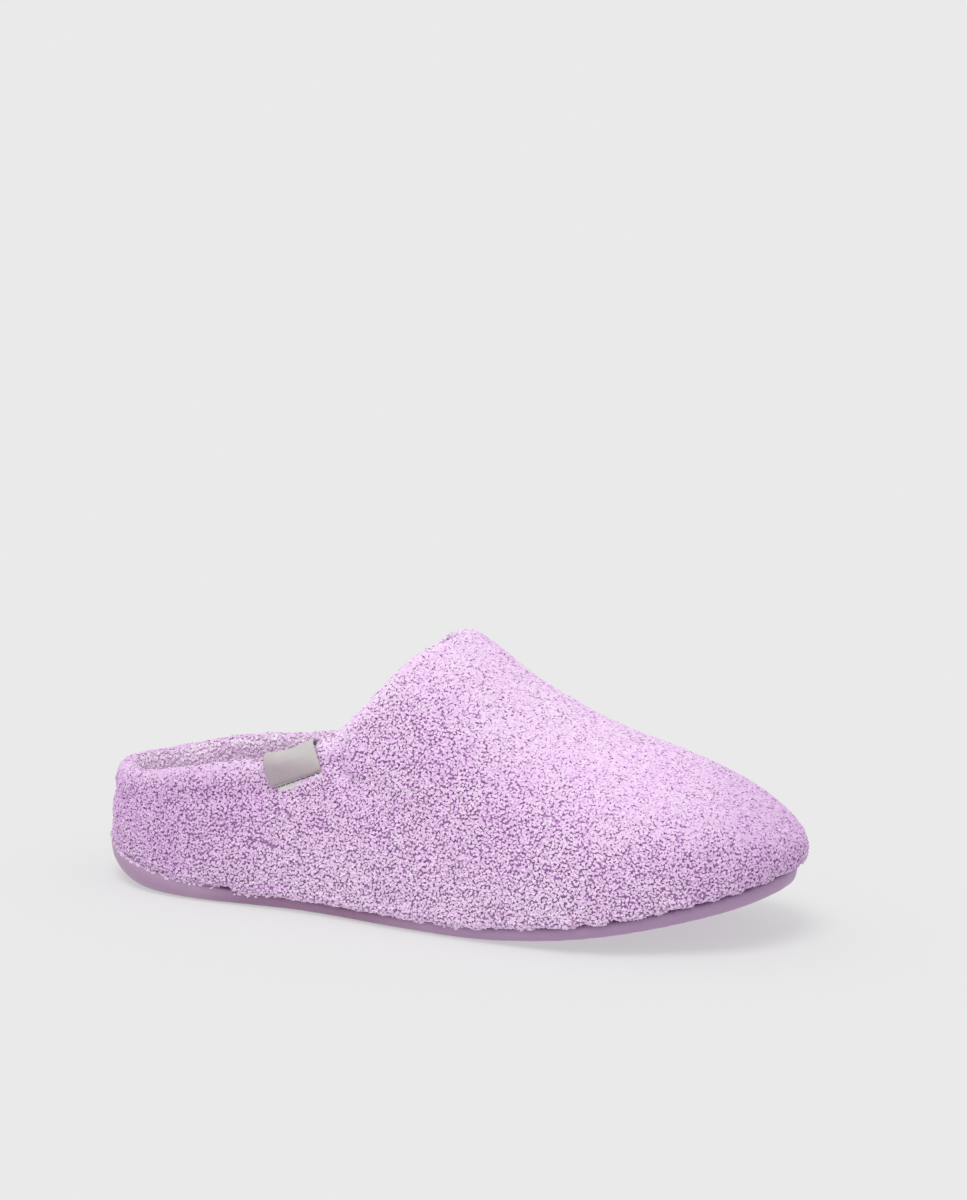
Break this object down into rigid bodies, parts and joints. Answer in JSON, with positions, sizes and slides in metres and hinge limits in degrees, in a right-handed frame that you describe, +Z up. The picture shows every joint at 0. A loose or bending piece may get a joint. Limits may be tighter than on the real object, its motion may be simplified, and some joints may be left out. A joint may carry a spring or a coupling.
{
  "type": "scuff slipper",
  "caption": "Closed-toe towelling house slipper with a low back, padded collar, folded side label and a moulded rubber sole, for the right foot.",
  "frame": {"origin": "on the floor under the middle of the heel seat", "axes": "+X to the toe, +Y to the inner side of the foot, +Z up"},
  "size_m": [0.2571, 0.1028, 0.1004],
  "materials": {
    "towelling": "looped pile, matte",
    "footbed": "looped pile, matte",
    "sole": "satin, moulded",
    "label": "smooth, low sheen",
    "strip": "woven tape, matte"
  },
  "bodies": {
    "root": {"upper": "towelling", "insole": "footbed", "outsole": "sole", "label": "label", "label_strip": "strip"}
  },
  "joints": []
}
